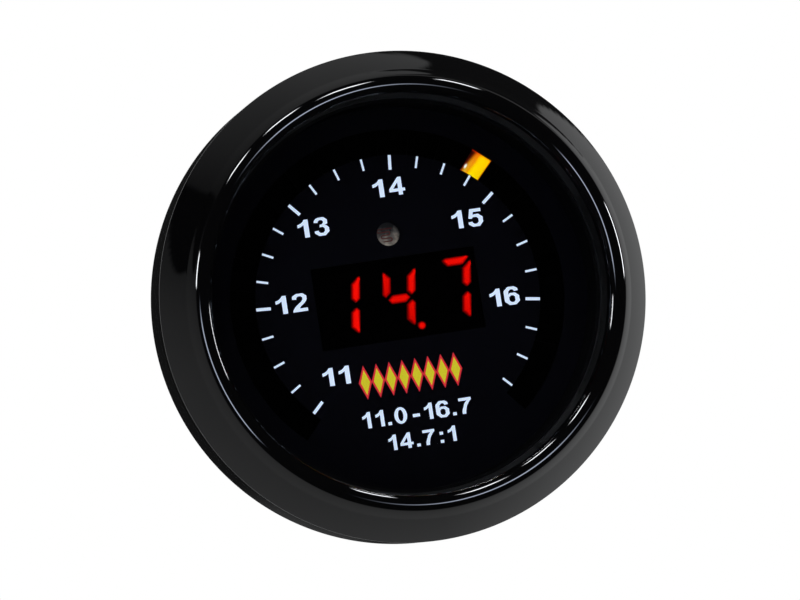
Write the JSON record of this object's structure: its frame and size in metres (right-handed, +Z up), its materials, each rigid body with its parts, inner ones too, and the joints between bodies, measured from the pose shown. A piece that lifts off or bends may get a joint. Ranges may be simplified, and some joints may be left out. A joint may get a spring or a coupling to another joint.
{
  "type": "air fuel ratio gauge",
  "caption": "Round dashboard gauge with a screw-on black bezel, a lit digital readout, a ring of lamps, rear sockets and a strap clamp with knurled nuts.",
  "frame": {"origin": "on the gauge's axis, in the plane where the cup's collar rests on the front of the panel", "axes": "+Y along the axis towards the back of the panel, so the face looks towards -Y; +Z up on the dial; +X to the right as the face is read"},
  "size_m": [0.06, 0.0606, 0.06],
  "materials": {
    "bezel": "moulded and polished, gloss black",
    "lens": "clear flat acrylic",
    "seal": "cut from sheet, matt",
    "dark_moulding": "moulded, matt black",
    "dial": "screen printed, blue-black",
    "filter": "smoked sheet",
    "lamp_off": "moulded epoxy, dark",
    "lamp_on": "moulded epoxy, lit yellow",
    "stroke_off": "cast epoxy, dark",
    "stroke_on": "cast epoxy, lit red",
    "sensor": "coated ceramic disc",
    "board": "glass fibre laminate with green lacquer",
    "chip": "moulded epoxy, matt",
    "contact": "plated",
    "can": "drawn",
    "socket": "moulded nylon",
    "selector_body": "moulded",
    "selector_rotor": "moulded nylon",
    "spacer": "cut tube",
    "zinc_steel": "zinc plated",
    "cup": "moulded, satin black",
    "nut": "turned and knurled"
  },
  "bodies": {
    "housing": {"cup_housing": "cup", "trim_ring": "dark_moulding", "dial_plate": "dial", "smoked_filter": "filter", "light_carrier": "dark_moulding", "lamps_dark": "lamp_off", "lamp_lit": "lamp_on", "display_module": "dark_moulding", "strokes_dark": "stroke_off", "strokes_lit": "stroke_on", "light_sensor": "sensor", "front_board": "board", "lamp_drivers": "chip", "pin_strip": "dark_moulding", "board_pins": "contact", "rear_board": "board", "processor": "chip", "voltage_regulator": "chip", "capacitors": "can", "power_socket": "socket", "power_contacts": "contact", "probe_socket": "socket", "probe_contacts": "contact", "selector_body": "selector_body", "spacer_tubes": "spacer", "long_screws": "zinc_steel", "rear_cover": "cup", "clamp_studs": "zinc_steel"},
    "lens_pack": {"lens": "lens", "lens_seal": "seal"},
    "bezel": {"bezel_ring": "bezel"},
    "selector": {"selector_rotor": "selector_rotor"},
    "clamp": {"clamp_strap": "zinc_steel", "split_washers": "zinc_steel"},
    "nut_upper": {"thumb_nut_upper": "nut"},
    "nut_lower": {"thumb_nut_lower": "nut"}
  },
  "joints": [
    {"name": "lens_lift", "type": "slide", "parent": "housing", "child": "lens_pack", "axis": [0, -1, 0], "range_m": [0, 0.0045]},
    {"name": "bezel_unscrew", "type": "hinge", "parent": "lens_pack", "child": "bezel", "pos_m": [0, -0.005, 0], "axis": [0, -1, 0], "range_deg": [0, 1081]},
    {"name": "selector_turn", "type": "hinge", "parent": "housing", "child": "selector", "pos_m": [-0.014, 0.02, -0.008], "axis": [0, 1, 0], "continuous": true},
    {"name": "clamp_slide", "type": "slide", "parent": "housing", "child": "clamp", "axis": [0, 1, 0], "range_m": [-0.005, 0.004]},
    {"name": "nut_upper_turn", "type": "hinge", "parent": "clamp", "child": "nut_upper", "pos_m": [0, 0.036, 0.015], "axis": [0, 1, 0], "range_deg": [-2251, 1801]},
    {"name": "nut_lower_turn", "type": "hinge", "parent": "clamp", "child": "nut_lower", "pos_m": [0, 0.036, -0.015], "axis": [0, 1, 0], "range_deg": [-2251, 1801]}
  ],
  "couplings": [
    {"joint": "bezel_unscrew", "follows": "lens_lift", "rad_per_m": 4188.8},
    {"joint": "nut_upper_turn", "follows": "clamp_slide", "rad_per_m": 7854},
    {"joint": "nut_lower_turn", "follows": "clamp_slide", "rad_per_m": 7854}
  ]
}
